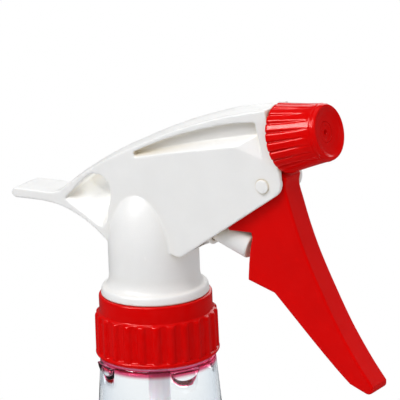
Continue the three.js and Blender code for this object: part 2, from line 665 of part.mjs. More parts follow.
function nozzleParts() {
  const stud = turned([
    [0.8, -8], [1.6, -8], [1.6, -2.9], [STUD_R - 0.5, -2.9], [STUD_R - 0.5, 0.1], [STUD_R, 0.1], [STUD_R, 8.4],
    [2.7, 8.4], [2.7, 3], [0.8, 3], [0.8, -8],
  ]);
  const studRidge = screwRidge(STUD_R - 0.2, 6.2, 0.7, NOZZLE_PITCH, 2.5, 2.4, 0, 14);
  addPiece(head, 'nozzle_base', onNozzleAxis(union(stud, studRidge)), WHITE);

  const core = turned([[0, 3.2], [2.4, 3.2], [2.4, 4.4], [1.5, 4.8], [1.5, 7.6], [2.2, 8], [2.2, 9.2], [0, 9.2]], 24);
  addPiece(head, 'swirl_core', onNozzleAxis(core), WHITE);
  addPiece(head, 'nozzle_seal', onNozzleAxis(ring(3.1, 4.9, 8.7, 9.35, 24)), RUBBER);

  const face = 12.9;
  const flutes = (r, z, angle) => {
    const fade = THREE.MathUtils.clamp((12.5 - z) / 9, 0, 1);
    const valley = (1 - Math.abs(Math.cos((NOZZLE_FLUTES * angle) / 2))) ** 2;
    return r > CAP_BORE_R ? -NOZZLE_FLUTE_DEPTH * fade * valley : 0;
  };
  const outside = turned([
    [0, 0], [NOZZLE_BACK_R - 0.3, 0], [NOZZLE_BACK_R, 0.4], [8.85, 4], [8.3, 8], [7.85, 10.8],
    [NOZZLE_FRONT_R - 0.1, 13.6], [NOZZLE_FRONT_R - 0.5, NOZZLE_LENGTH], [0, NOZZLE_LENGTH],
  ], NOZZLE_FLUTES * 4, flutes);
  const inside = turned([
    [0, -1], [CAP_BORE_R, -1], [CAP_BORE_R, 9.7], [3.6, 9.7], [3.6, 11.2], [2.8, 11.2], [2.8, face],
    [5.6, face + 0.1], [6.5, NOZZLE_LENGTH + 0.1], [0, NOZZLE_LENGTH + 0.1],
  ]);
  const cap = outside.subtract(inside);
  const capRidge = screwRidge(CAP_BORE_R + 0.2, 5.65, 0.7, NOZZLE_PITCH, 2, 2.4 + NOZZLE_PITCH / 2, 0, 14);
  addPiece(head, 'nozzle_cap', onNozzleAxis(union(cap, capRidge)), RED);

  const insert = turned([
    [0.45, 9.9], [3.3, 9.9], [3.3, 10.9], [2.5, 10.9], [2.5, face - 0.3], [1.2, face - 0.3], [0.45, face - 1],
    [0.45, 9.9],
  ], 32);
  addPiece(head, 'orifice_insert', onNozzleAxis(insert), RED);
}

// ---------------------------------------------------------------- build
bottle();
screwCollar();
mouthGasket();
pumpBody();
inletValve();
dipTube();
pistonParts();
shroud();
trigger();
outletValve();
nozzleParts();

export default model;
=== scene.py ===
"""Looks of the hand mister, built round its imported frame.

Outlines and profiles are in millimetres, and heights of the head count from the collar's top, as in the CAD
source. build() scales a shape to metres and placed_on() moves it to its place in the frame.
"""
import json
import math

import bmesh
import bpy
from mathutils import Matrix, Vector


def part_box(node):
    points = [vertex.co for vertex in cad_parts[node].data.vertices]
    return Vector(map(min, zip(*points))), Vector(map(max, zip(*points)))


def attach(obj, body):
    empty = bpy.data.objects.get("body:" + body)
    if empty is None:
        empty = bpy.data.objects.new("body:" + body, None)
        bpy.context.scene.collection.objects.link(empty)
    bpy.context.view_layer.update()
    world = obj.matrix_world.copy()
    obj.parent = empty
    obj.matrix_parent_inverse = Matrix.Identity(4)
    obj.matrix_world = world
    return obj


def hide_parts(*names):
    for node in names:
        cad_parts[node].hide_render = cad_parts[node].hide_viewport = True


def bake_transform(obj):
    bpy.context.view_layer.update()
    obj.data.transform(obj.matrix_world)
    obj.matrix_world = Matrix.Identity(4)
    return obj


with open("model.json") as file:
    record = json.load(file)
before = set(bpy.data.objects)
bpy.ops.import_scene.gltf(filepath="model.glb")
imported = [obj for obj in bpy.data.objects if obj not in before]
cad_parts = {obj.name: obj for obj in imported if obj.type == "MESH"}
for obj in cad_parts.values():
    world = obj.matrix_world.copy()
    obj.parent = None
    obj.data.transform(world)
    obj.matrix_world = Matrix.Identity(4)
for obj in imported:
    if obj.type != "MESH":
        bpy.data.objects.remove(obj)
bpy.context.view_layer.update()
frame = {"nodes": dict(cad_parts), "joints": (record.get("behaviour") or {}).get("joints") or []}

MM = 0.001
JOINTS = {joint["name"]: joint for joint in frame["joints"]}

# ---------------------------------------------------------------- driving dimensions, millimetres
HEAD_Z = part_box("shroud")[0].z / MM          # underside of the head's flange
MOUTH_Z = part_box("bottle")[1].z / MM         # rim of the bottle's mouth
PIVOT = Vector(JOINTS["trigger_pull"]["pos_m"]) / MM - Vector((0, 0, HEAD_Z))
NOZZLE = Vector(JOINTS["nozzle_turn"]["pos_m"]) / MM - Vector((0, 0, HEAD_Z))
SPRAY = Vector(JOINTS["nozzle_turn"]["axis"])
STROKE = Vector(JOINTS["piston_stroke"]["axis"])
PISTON_POINT = Vector((24.0, 0, 20.1))

SHROUD_HALF = 5.9
SHROUD_HALF_NECK = 7.5
NECK_R = 12.4
NECK_BORE_R = 11.5
FLANGE_R = 14.9

COLLAR_HEIGHT = 17.2
COLLAR_BAND_R = 15.5
COLLAR_BEAD_R = 17.0
COLLAR_BORE_R = 13.9
COLLAR_LIP_BORE_R = 11.9
COLLAR_RIBS = 25

BOTTLE_BODY_R = 34
BOTTLE_FINISH_R = 12.4
BOTTLE_MOUTH_R = 10.6
BOTTLE_SHOULDER_R = 15.9
BOTTLE_WALL = 0.95
BOTTLE_LUGS = (-30, 60, 150, 240)    # angles in degrees of the pads on the shoulder
THREAD_PITCH = 4.23
THREAD_FOOT = MOUTH_Z - 8.6          # where the bottle's thread starts

NOZZLE_LENGTH = 14.05
NOZZLE_BACK_R = 9.5
NOZZLE_FRONT_R = 7.5
NOZZLE_FLUTES = 22
CAP_TURN = 1.0       # phase of the flutes round the cap

PISTON_R = 3.9
TRIGGER_HALF = 3.9
PIN_R = 1.85


# ---------------------------------------------------------------- shape helpers
def build(name, vertices, faces):
    """Object from points in millimetres: coincident points merged, big faces triangulated, normals out."""
    mesh = bpy.data.meshes.new(name)
    mesh.from_pydata([Vector(v) * MM for v in vertices], [], faces)
    shape = bmesh.new()
    shape.from_mesh(mesh)
    bmesh.ops.remove_doubles(shape, verts=shape.verts, dist=1e-7)
    bmesh.ops.triangulate(shape, faces=[face for face in shape.faces if len(face.verts) > 4])
    bmesh.ops.recalc_face_normals(shape, faces=shape.faces)
    shape.to_mesh(mesh)
    shape.free()
    obj = bpy.data.objects.new(name, mesh)
    bpy.context.scene.collection.objects.link(obj)
    return obj


def skin(name, rings, around=False):
    """Closed surface through rings of points: capped at both ends, or joined end to end if around."""
    count = len(rings[0])
    pairs = [(i, i + 1) for i in range(len(rings) - 1)]
    if around:
        pairs.append((len(rings) - 1, 0))
    faces = [
        (i * count + k, i * count + (k + 1) % count, j * count + (k + 1) % count, j * count + k)
        for i, j in pairs
        for k in range(count)
    ]
    if not around:
        faces.append(tuple(range(count)))
        faces.append(tuple(range((len(rings) - 1) * count, len(rings) * count)))
    return build(name, [point for ring in rings for point in ring], faces)


def lathe(name, profile, segments=128, swell=None):
    """Solid of revolution about Z. The (radius, z) profile runs from axis to axis, or closes on itself.
    swell(radius, z, angle) adds to the radius."""
    around = profile[0][0] > 0
    rings = []
    for radius, z in profile:
        ring = []
        for k in range(segments):
            angle = 2 * math.pi * k / segments
            r = radius + (swell(radius, z, angle) if swell and radius > 0 else 0)
            ring.append((r * math.cos(angle), r * math.sin(angle), z))
        rings.append(ring)
    return skin(name, rings, around)


def rounded(corners, steps=4, closed=True):
    """Outline with rounded corners. A corner is (x, y), or (x, y, cut) if its bend starts that far away."""
    count = len(corners)
    points = []
    for i, corner in enumerate(corners):
        here = Vector(corner[:2])
        if len(corner) < 3 or (not closed and i in (0, count - 1)):
            points.append(tuple(here))
            continue
        before = Vector(corners[i - 1][:2]) - here
        after = Vector(corners[(i + 1) % count][:2]) - here
        start = here + before.normalized() * min(corner[2], before.length * 0.48)
        end = here + after.normalized() * min(corner[2], after.length * 0.48)
        for k in range(steps + 1):
            t = k / steps
            points.append(tuple((1 - t) ** 2 * start + 2 * t * (1 - t) * here + t * t * end))
    return points


def arc(x, z, radius, start, end, steps=12):
    """Points on an arc, its angles in degrees."""
    angles = [math.radians(start + (end - start) * k / steps) for k in range(steps + 1)]
    return [(x + radius * math.cos(a), z + radius * math.sin(a)) for a in angles]


def spline(points, steps=8):
    """Smooth curve through the points (Catmull-Rom)."""
    through = [Vector(p) for p in points]
    through = [2 * through[0] - through[1], *through, 2 * through[-1] - through[-2]]
    curve = []
    for a, b, c, d in zip(through, through[1:], through[2:], through[3:]):
        for k in range(steps):
            t = k / steps
            bend = (2 * a - 5 * b + 4 * c - d) * t * t + (3 * b - a - 3 * c + d) * t ** 3
            curve.append(tuple(0.5 * (2 * b + (c - a) * t + bend)))
    curve.append(tuple(through[-2]))
    return curve


def clamp(value):
    """The value, held between 0 and 1."""
    return max(0.0, min(1.0, value))


def inset(outline, distance):
    """The outline with each point moved inwards, at right angles to its neighbours."""
    area = sum(a[0] * b[1] - b[0] * a[1] for a, b in zip(outline, outline[1:] + outline[:1]))
    turn = 1 if area > 0 else -1
    moved = []
    for i, (x, z) in enumerate(outline):
        ahead = Vector(outline[(i + 1) % len(outline)])
        along = (ahead - Vector(outline[i - 1])).normalized()
        moved.append((x - turn * along.y * distance, z + turn * along.x * distance))
    return moved


def plate(name, outline, low, high, edge=0.0):
    """Solid of an (x, z) outline between two y values, its rims rounded by edge."""
    if not edge:
        return skin(name, [[(x, y, z) for x, z in outline] for y in (low, high)])
    steps = 4
    rings = []
    for k in range(steps + 1):
        angle = math.pi / 2 * k / steps
        inner = inset(outline, edge * (1 - math.sin(angle)))
        rings.append([(x, low + edge * (1 - math.cos(angle)), z) for x, z in inner])
    mirrored = [[(x, low + high - y, z) for x, y, z in ring] for ring in reversed(rings)]
    return skin(name, rings + mirrored)


def ridge(name, root, tip, width, pitch, turns, low):
    """Screw ridge round Z with a rounded trapezoid section, tapering off at both ends."""
    steps_per_turn = 72
    steps = round(turns * steps_per_turn)
    fade = steps_per_turn / 8
    flank = [(0, 0.5), (0.6, 0.34), (0.92, 0.24), (1, 0.12)]
    section = [(out, -up) for out, up in flank] + flank[::-1]
    rings = []
    for i in range(steps + 1):
        angle = 2 * math.pi * i / steps_per_turn
        z = low + pitch * i / steps_per_turn
        reach = (tip - root) * clamp(0.1 + min(i, steps - i) / fade)
        rings.append([
            ((root + reach * out) * math.cos(angle), (root + reach * out) * math.sin(angle), z + width * up)
            for out, up in section
        ])
    return skin(name, rings)


def coil(name, radius, wire, low, high, turns):
    """Compression spring about Z: close end turns, open ones between, round wire."""
    steps = round(turns * 40)
    rings = []
    for i in range(steps + 1):
        t = i / steps
        angle = 2 * math.pi * turns * t
        z = low + (high - low) * (t - 0.08 * math.sin(2 * math.pi * t))
        ring = []
        for k in range(12):
            around = 2 * math.pi * k / 12
            r = radius + wire * math.cos(around)
            ring.append((r * math.cos(angle), r * math.sin(angle), z + wire * math.sin(around)))
        rings.append(ring)
    return skin(name, rings)


def apply_modifiers(obj):
    graph = bpy.context.evaluated_depsgraph_get()
    mesh = bpy.data.meshes.new_from_object(obj.evaluated_get(graph))
    obj.modifiers.clear()
    obj.data = mesh


def combine(obj, tool, operation):
    """Joins or cuts obj with tool, which is used up."""
    modifier = obj.modifiers.new("combine", "BOOLEAN")
    modifier.operation = operation
    modifier.solver = "MANIFOLD"
    modifier.object = tool
    apply_modifiers(obj)
    bpy.data.objects.remove(tool)
    return obj


def soften(obj, voxel, smoothing):
    """Runs the edges of a cut shape into each other, as a mould's edges do."""
    remesh = obj.modifiers.new("remesh", "REMESH")
    remesh.mode = "VOXEL"
    remesh.voxel_size = voxel * MM
    smooth = obj.modifiers.new("smooth", "SMOOTH")
    smooth.factor = 0.5
    smooth.iterations = smoothing
    apply_modifiers(obj)
    return obj


def thin_out(obj, ratio):
    """Drops faces from a dense mesh, first of all where it is flat."""
    decimate = obj.modifiers.new("decimate", "DECIMATE")
    decimate.ratio = ratio
    apply_modifiers(obj)
    return obj


IN_HEAD = Matrix.Translation((0, 0, HEAD_Z * MM))
NOZZLE_RISE = math.atan2(SPRAY.z, SPRAY.x)
PISTON_FALL = math.atan2(STROKE.z, -STROKE.x)
QUARTER_TURN = math.pi / 2


def in_head(point, angle, axis):
    """Place of a shape made about Z: at a point of the head, and turned by the angle about an axis."""
    return IN_HEAD @ Matrix.Translation(point * MM) @ Matrix.Rotation(angle, 4, axis)


ON_NOZZLE = in_head(NOZZLE, QUARTER_TURN - NOZZLE_RISE, "Y")
ON_PISTON = in_head(PISTON_POINT, QUARTER_TURN + PISTON_FALL, "Y")
ON_PIVOT = in_head(PIVOT, QUARTER_TURN, "X")


def placed_on(obj, place):
    obj.data.transform(place)
    return obj


def finish_piece(obj, material, node, body):
    """Gives a piece its material, hides the CAD node it stands for, and attaches it to a body when one is
    given.
    """
    obj.data.materials.clear()
    obj.data.materials.append(material)
    obj.data.polygons.foreach_set("use_smooth", [True] * len(obj.data.polygons))
    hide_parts(node)
    if body:
        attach(obj, body)
    return obj


# ---------------------------------------------------------------- materials
class Shader:
    """Small helper that adds nodes to a material and joins them."""

    def __init__(self, name):
        self.material = bpy.data.materials.new(name)
        self.material.use_nodes = True
        self.tree = self.material.node_tree
        self.surface = self.tree.nodes["Principled BSDF"]
        self.output = self.tree.nodes["Material Output"]
        self.place = self.add("ShaderNodeTexCoord").outputs["Object"]

    def add(self, kind, inputs=None, **settings):
        node = self.tree.nodes.new(kind)
        for key, value in settings.items():
            setattr(node, key, value)
        for key, value in (inputs or {}).items():
            self.put(node.inputs[key], value)
        return node

    def put(self, socket, value):
        if isinstance(value, bpy.types.NodeSocket):
            self.tree.links.new(value, socket)
        else:
            socket.default_value = value

    def noise(self, size, detail=2.0, stretch=None):
        """Noise whose lumps are about size millimetres across, from 0 to 1."""
        where = self.place
        if stretch:
            where = self.add("ShaderNodeMapping", {"Vector": self.place, "Scale": stretch}).outputs[0]
        settings = {"Vector": where, "Scale": 1 / (size * MM), "Detail": detail}
        return self.add("ShaderNodeTexNoise", settings).outputs["Fac"]

    def spread(self, value, low, high, start=0.3, end=0.7):
        """Maps a value that runs from start to end onto low to high."""
        return self.add("ShaderNodeMapRange", {
            "Value": value, "From Min": start, "From Max": end, "To Min": low, "To Max": high,
        }).outputs["Result"]

    def mix(self, share, first, second, blend="MIX"):
        node = self.add("ShaderNodeMix", data_type="RGBA", blend_type=blend)
        self.put(node.inputs["Factor"], share)
        self.put(node.inputs[6], first)
        self.put(node.inputs[7], second)
        return node.outputs[2]

    def bump(self, height, depth, strength=1.0, under=None):
        inputs = {"Height": height, "Distance": depth * MM, "Strength": strength}
        if under is not None:
            inputs["Normal"] = under
        return self.add("ShaderNodeBump", inputs).outputs["Normal"]

    def set(self, **inputs):
        for key, value in inputs.items():
            self.put(self.surface.inputs[key.replace("_", " ")], value)


def moulded_plastic(
    name, colour, roughness, grain_depth, shade=0.94, specular=0.5, sheen=(1, 1, 1),
    subsurface=0.0, glow=None, painted_corner_shade=None, painted_pocket_glow=None,
):
    """Injection-moulded plastic: slightly uneven colour, a fine grain, shallow sink marks and a painted
    highlight along its sharp edges. sheen tints its reflections, glow is how far each colour spreads under
    the surface, the corner tint is painted shade in the corners that little light gets into, and the pocket
    glow is painted light, an emission that brightens the shaded walls of the tail's pocket."""
    shader = Shader(name)
    cloud = shader.noise(9, detail=3)
    speck = shader.noise(0.35, detail=1)
    darker = tuple(c * shade for c in colour) + (1,)
    base = shader.mix(shader.spread(cloud, 0, 1), tuple(colour) + (1,), darker)
    base = shader.mix(shader.spread(speck, 0, 0.35), base, darker)
    # painted highlight: sharp convex edges take a paler colour, as if catching the light
    edge = shader.add("ShaderNodeNewGeometry").outputs["Pointiness"]
    edge_highlight_share = shader.spread(edge, 0, 0.25, 0.52, 0.62)
    edge_highlight_colour = tuple(min(1, c * 1.12) for c in colour) + (1,)
    base = shader.mix(edge_highlight_share, base, edge_highlight_colour)
    # painted shade: where ambient occlusion finds a corner hidden, the colour is multiplied by the warm
    # corner tint
    if painted_corner_shade:
        reached = shader.add("ShaderNodeAmbientOcclusion", {"Distance": 5 * MM}, samples=6).outputs["AO"]
        deep = shader.mix(1.0, base, tuple(painted_corner_shade) + (1,), "MULTIPLY")
        base = shader.mix(shader.spread(reached, 0, 1, 0.3, 0.92), deep, base)
    grain = shader.bump(shader.noise(0.22, detail=2), grain_depth, 0.8)
    sink = shader.bump(shader.noise(14, detail=1), 0.35, 0.35, grain)
    uneven = shader.spread(shader.noise(2.5, detail=4), roughness - 0.05, roughness + 0.07)
    shader.set(Base_Color=base, Roughness=uneven, Normal=sink)
    shader.set(Specular_IOR_Level=specular, Specular_Tint=(*sheen, 1))
    # painted light: an emission that fills the shade on the walls of the tail's pocket
    if painted_pocket_glow:
        shader.set(Emission_Color=(*painted_pocket_glow, 1), Emission_Strength=pocket_glow_share(shader, reached))
    if subsurface:
        shader.set(Subsurface_Weight=subsurface, Subsurface_Scale=0.6 * MM)
        shader.surface.inputs["Subsurface Radius"].default_value = glow
    return shader.material


def clear_plastic(name):
    """Clear blown PET: refracting, faintly blue, softly rippled, with painted shade that darkens it towards
    its edges.
    Its shoulder, just under the collar, carries a painted reflection of the collar's red."""
    shader = Shader(name)
    facing = shader.add("ShaderNodeLayerWeight", {"Blend": 0.35}).outputs["Facing"]
    # a faint blue of its own seen flat on, and painted shade towards the edges, where the rims look dark
    # through refraction
    flat_on, edge_shade_colour, collar_reflection_colour = (0.955, 0.975, 0.985, 1), (0.62, 0.70, 0.80, 1), (0.62, 0.07, 0.16, 1)
    tint = shader.mix(shader.spread(facing, 0, 1, 0.1, 0.95), flat_on, edge_shade_colour)
    # painted reflection: a red band on the shoulder, just under the collar, stands for the collar seen in
    # the clear wall
    height = shader.add("ShaderNodeSeparateXYZ", {0: shader.place}).outputs[2]
    under_collar = HEAD_Z - COLLAR_HEIGHT - 0.7
    from_below = shader.spread(height, 0, 1, (under_collar - 2.6) * MM, (under_collar - 1.6) * MM)
    collar_reflection_share = shader.spread(height, from_below, 0, (under_collar - 0.1) * MM, (under_collar + 0.1) * MM)
    tint = shader.mix(collar_reflection_share, tint, collar_reflection_colour)
    ripple = shader.bump(shader.noise(11, detail=2, stretch=(1, 1, 0.45)), 0.25, 0.5)
    scuff = shader.spread(shader.noise(1.2, detail=5), 0.02, 0.07)
    shader.set(Base_Color=tint, Roughness=scuff, Normal=ripple)
    shader.set(IOR=1.5, Transmission_Weight=1.0, Specular_IOR_Level=0.6)
    shadow = shader.add("ShaderNodeLightPath").outputs["Is Shadow Ray"]
    clear = shader.add("ShaderNodeBsdfTransparent", {"Color": (0.88, 0.91, 0.94, 1)}).outputs[0]
    glass = shader.surface.outputs[0]
    blend = shader.add("ShaderNodeMixShader", {0: shadow, 1: glass, 2: clear}).outputs[0]
    shader.put(shader.output.inputs["Surface"], blend)
    return shader.material


def milky_plastic(name):
    """Natural polyethylene tube: cloudy, greyish, with fine draw lines along it, and a faint painted glow.
    """
    shader = Shader(name)
    lines = shader.noise(0.5, detail=2, stretch=(1, 1, 0.03))
    tint = shader.mix(shader.spread(lines, 0, 1), (0.84, 0.83, 0.85, 1), (0.76, 0.75, 0.78, 1))
    normal = shader.bump(lines, 0.03, 0.6)
    # painted light: a faint emission brightens the tube as if lit inside the bottle
    shader.set(
        Base_Color=tint, Roughness=0.32, IOR=1.5, Normal=normal, Subsurface_Weight=0.3, Subsurface_Scale=MM,
        Emission_Color=(0.9, 0.9, 1, 1), Emission_Strength=0.12,
    )
    return shader.material


def wire_steel(name):
    """Drawn stainless wire: bright, with fine marks from the die."""
    shader = Shader(name)
    marks = shader.noise(0.15, detail=3)
    tint = shader.mix(shader.spread(marks, 0, 1), (0.66, 0.67, 0.69, 1), (0.52, 0.53, 0.55, 1))
    normal = shader.bump(marks, 0.02, 0.5)
    rough = shader.spread(shader.noise(1, detail=3), 0.16, 0.3)
    shader.set(Base_Color=tint, Metallic=1.0, Roughness=rough, Normal=normal)
    return shader.material


def soft_rubber(name, colour, pore):
    """Rubber or foamed seal: matt, with fine pores."""
    shader = Shader(name)
    cells = shader.add("ShaderNodeTexVoronoi", {"Vector": shader.place, "Scale": 1 / (pore * MM)})
    pores = cells.outputs["Distance"]
    darker = tuple(c * 0.75 for c in colour) + (1,)
    tint = shader.mix(shader.spread(pores, 0, 1, 0.1, 0.8), darker, tuple(colour) + (1,))
    normal = shader.bump(pores, 0.05, 0.6)
    shader.set(Base_Color=tint, Roughness=0.75, Normal=normal, Specular_IOR_Level=0.3)
    return shader.material


def pocket_glow_share(shader, reached):
    """Share of the painted glow in the tail's pocket, from 0 to 1: full on the walls round the web, none in
    its narrow rear corner.
    """
    along, across, up = shader.add("ShaderNodeSeparateXYZ", {0: shader.place}).outputs
    depth = shader.add("ShaderNodeMath", {0: across}, operation="ABSOLUTE").outputs[0]
    share = shader.spread(depth, 0.65, 1, 0.5 * MM, 1.3 * MM)
    limits = [
        (reached, 0.97, 0.8),
        (along, -25 * MM, -19 * MM),
        (along, -7.6 * MM, -8.2 * MM),
        (depth, 6 * MM, 2.5 * MM),
        (up, (HEAD_Z + 36) * MM, (HEAD_Z + 34.5) * MM),
    ]
    for value, start, end in limits:
        inside = shader.spread(value, 0, 1, start, end)
        share = shader.add("ShaderNodeMath", {0: share, 1: inside}, operation="MULTIPLY").outputs[0]
    return share


# white plastic: its corner tint is painted shade, and its pocket glow is painted light
WHITE = moulded_plastic(
    "white_satin", (0.87, 0.87, 0.865), 0.36, 0.035, shade=0.965, subsurface=0.12, glow=(1.0, 0.9, 0.8),
    painted_corner_shade=(0.87, 0.78, 0.62), painted_pocket_glow=(0.33, 0.345, 0.35),
)
RED = (0.7, 0.0, 0.0)
RED_GLOSS = moulded_plastic("red_gloss", RED, 0.16, 0.01, shade=0.92, specular=0.45, sheen=(1, 0.4, 0.38))
RED_SATIN = moulded_plastic("red_satin", RED, 0.42, 0.05, shade=0.92, specular=0.3, sheen=(1, 0.12, 0.1))
CLEAR = clear_plastic("clear_bottle")
MILKY = milky_plastic("milky_tube")
STEEL = wire_steel("spring_steel")
SEAL = soft_rubber("soft_seal", (0.72, 0.72, 0.7), 0.3)
RUBBER = soft_rubber("dark_rubber", (0.035, 0.035, 0.035), 0.2)


# ---------------------------------------------------------------- shroud
CREST = spline([
    (-28.4, 26.0), (-20.5, 32.1), (-10, 38.6), (0, 43.6),
    (10, 48.1), (19.5, 51.7), (30, 54.9), (40.2, 56.5),
])
TAIL_ARC = (-33, -11.8, 35)
TAIL_TIP = (-41, 24.5, 1.4)
EAR = (40.1, 36.4, 4.15)
CHEEK_SLOPE = 34.5
CHEEK_FOOT = (12.4, 16.1, 3)
FIT_GAP = 0.3


def crest_height(x):
    for a, b in zip(CREST, CREST[1:]):
        if x <= b[0] or b is CREST[-1]:
            return a[1] + (b[1] - a[1]) * (x - a[0]) / (b[0] - a[0])


def rail_drop(x):
    """Height of the rail from its crest to its lower edge."""
    return 2.6 + clamp((x - 10) / 27)


def shroud_half(x):
    widening = min(clamp((x + 26) / 18), 1 - clamp((x - 9) / 35))
    return SHROUD_HALF + (SHROUD_HALF_NECK - SHROUD_HALF) * widening


def beside_nozzle(along, above):
    c, s = math.cos(NOZZLE_RISE), math.sin(NOZZLE_RISE)
    return NOZZLE.x + along * c - above * s, NOZZLE.z + along * s + above * c


def cheek_outline():
    low = CHEEK_SLOPE - 90
    tail_start = math.degrees(math.atan2(14.3 - TAIL_ARC[1], -9.6 - TAIL_ARC[0]))
    return [
        (TAIL_TIP[0], TAIL_TIP[1] + TAIL_TIP[2]),
        (-28.8, 26.0),
        *[(x, crest_height(x) - 1.2) for x in range(-26, 34, 3)],
        beside_nozzle(-FIT_GAP, 8.9),
        beside_nozzle(-FIT_GAP, -8),
        *arc(*EAR, 2, low),
        *arc(*CHEEK_FOOT, low, -130),
        (9.4, 14.1),
        (-9.6, 14.3),
        *arc(*TAIL_ARC, tail_start, 90, 20)[1:],
        *arc(*TAIL_TIP, 270, 90)[:-1],
    ]


def top_rail():
    rings = []
    for k in range(49):
        x = -28 + (39.9 + 28) * k / 48
        half, top, drop = shroud_half(x), crest_height(x), rail_drop(x)
        lean = math.tan(NOZZLE_RISE) * clamp((x - 30) / 9.9)
        ring = []
        for step in range(-14, 15):
            across = math.sin(math.pi / 2 * step / 14)
            z = top - drop * abs(across) ** 2
            ring.append((x + (top - z) * lean, half * across, z))
        foot = top - drop - 0.3
        ring += [(x + (top - foot) * lean, half, foot), (x + (top - foot) * lean, -half, foot)]
        rings.append(ring)
    return skin("rail", rings)


def neck():
    dome_start, dome_height = 12, 21
    dome = [
        (NECK_R * math.sqrt(1 - (k / 16) ** 2), dome_start + dome_height * k / 16)
        for k in range(1, 16)
    ]
    foot = rounded([
        (0, 0), (FLANGE_R, 0, 0.3), (FLANGE_R - 0.4, 2.3, 0.5), (13.2, 2.6, 0.9), (NECK_R, 4.6, 1.2),
        (NECK_R, dome_start),
    ], closed=False)
    return lathe("neck", [*foot, *dome, (0, dome[-1][1])])


def overshot(inner, outer, reach=1.4):
    """The outer outline moved further out along the lines from the inner one."""
    return [tuple(Vector(a).lerp(Vector(b), reach)) for a, b in zip(inner, outer)]


def tail_pocket(side):
    """Scooped pocket between tail, spine and neck: its lower and rear walls slope in to a thin web."""
    web_half = 0.5
    square_walls = spline([
        (-18.9, 30), (-15.5, 32.6), (-13.4, 33.2), (-11.2, 33), (-9.2, 31.4), (-8.3, 28.4), (-8.9, 25),
    ], 4)
    mouth_edge = [*square_walls, *spline([(-9.6, 21.4), (-11.6, 18.4), (-17.9, 21.3), (-24.6, 24.7)], 4)]
    web_edge = [*square_walls, *spline([(-10.1, 24.8), (-13, 26), (-15.6, 27.2), (-18, 28.4)], 4)]
    mouth = [(x, side * shroud_half(x), z) for x, z in mouth_edge]
    web = [(x, side * web_half, z) for x, z in web_edge]
    return skin("pocket", [overshot(web, mouth), web])


def side_recess(side):
    """Hollow under the top rail: flat floor, and a ledge that slopes out to the cheek below it."""
    depth = 2.0
    along_rail = (-0.3, 2, 4, 7, 10.4, 13, 16, 19, 22, 26, 29.5, 33, 36, 37.2)
    rail = [(x, crest_height(x) - rail_drop(x)) for x in along_rail]
    panel = spline([(31.1, 45.4), (20.7, 43.5), (11.1, 41.8), (0, 39.4)], 4)
    floor = spline([(31.5, 48.0), (20.5, 45.6), (9.9, 42.9), (-0.3, 40.3)], 4)
    outer = [(x, side * shroud_half(x), z) for x, z in [*rail, (39.4, 42.7), *panel]]
    inner = [(x, side * (shroud_half(x) - depth), z) for x, z in [*rail, (37.7, 49.2), *floor]]
    return skin("recess", [overshot(inner, outer), inner])


def hollows():
    room = [(-7.5, 13.4), (-7.5, 29), (2, 35), (25.5, 39), (25.5, 10), (13.2, 10), (13.2, 13.4)]
    roof = [(x, crest_height(x) - 2.9) for x in (-3.6, 0, 5, 10, 15, 20, 25, 30, 37)]
    front = [beside_nozzle(-2.7, 6.3), beside_nozzle(-2.7, -6.6)]
    tube_room = [(-3.6, 28), *roof, *front, (25, 38.5), (5, 32)]
    slot = [(25, 5), (25, 39), (36, 40.4), (60, 40.4), (60, 5)]
    slot_half = TRIGGER_HALF + 0.5
    return [
        lathe("bore", [(0, -1), (NECK_BORE_R, -1), (NECK_BORE_R, 13.5), (0, 13.5)]),
        plate("room", room, -5.6, 5.6),
        plate("tube_room", tube_room, -3.2, 3.2),
        plate("slot", slot, -slot_half, slot_half),
    ]


def shroud():
    shell = plate("shroud_shell", cheek_outline(), -10, 10)
    plan = [(x, shroud_half(x)) for x in (-50, -26, -8, 9, 44, 60)]
    plan += [(x, -y) for x, y in reversed(plan)]
    seen_from_above = placed_on(plate("plan", plan, 0, 70), Matrix.Rotation(QUARTER_TURN, 4, "X"))
    combine(shell, seen_from_above, "INTERSECT")
    combine(shell, top_rail(), "UNION")
    combine(shell, neck(), "UNION")
    stud_hole = lathe("stud_hole", [(0, -4), (5.2, -4), (5.2, 2), (0, 2)])
    pin_hole = lathe("pin_hole", [(0, -10), (PIN_R - 0.1, -10), (PIN_R - 0.1, 10), (0, 10)])
    unplaced = IN_HEAD.inverted()
    tools = [
        *hollows(), side_recess(1), side_recess(-1), tail_pocket(1), tail_pocket(-1),
        placed_on(stud_hole, unplaced @ ON_NOZZLE), placed_on(pin_hole, unplaced @ ON_PIVOT),
    ]
    for tool in tools:
        combine(shell, tool, "DIFFERENCE")
    soften(shell, 0.26, 5)
    thin_out(shell, 0.5)
    placed_on(shell, IN_HEAD)
    finish_piece(shell, WHITE, "shroud", "head")


